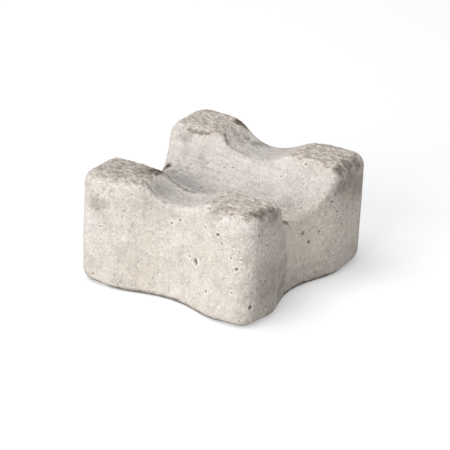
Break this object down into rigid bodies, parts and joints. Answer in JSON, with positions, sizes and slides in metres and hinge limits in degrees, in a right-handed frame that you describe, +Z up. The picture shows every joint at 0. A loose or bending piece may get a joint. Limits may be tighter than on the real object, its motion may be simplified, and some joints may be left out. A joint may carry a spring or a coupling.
{
  "type": "concrete spacer",
  "caption": "Cast concrete spacer block with curved-in sides and crossing round seats of different depth that hold reinforcing bars off the formwork.",
  "frame": {"origin": "centre of the flat base", "axes": "+Z up, +X along the deep seat, +Y along the shallow seat towards its wider end"},
  "size_m": [0.079, 0.087, 0.046],
  "materials": {
    "concrete": "cast concrete, matt, slightly sandy, with small air pores"
  },
  "bodies": {
    "root": {"spacer_block": "concrete"}
  },
  "joints": []
}
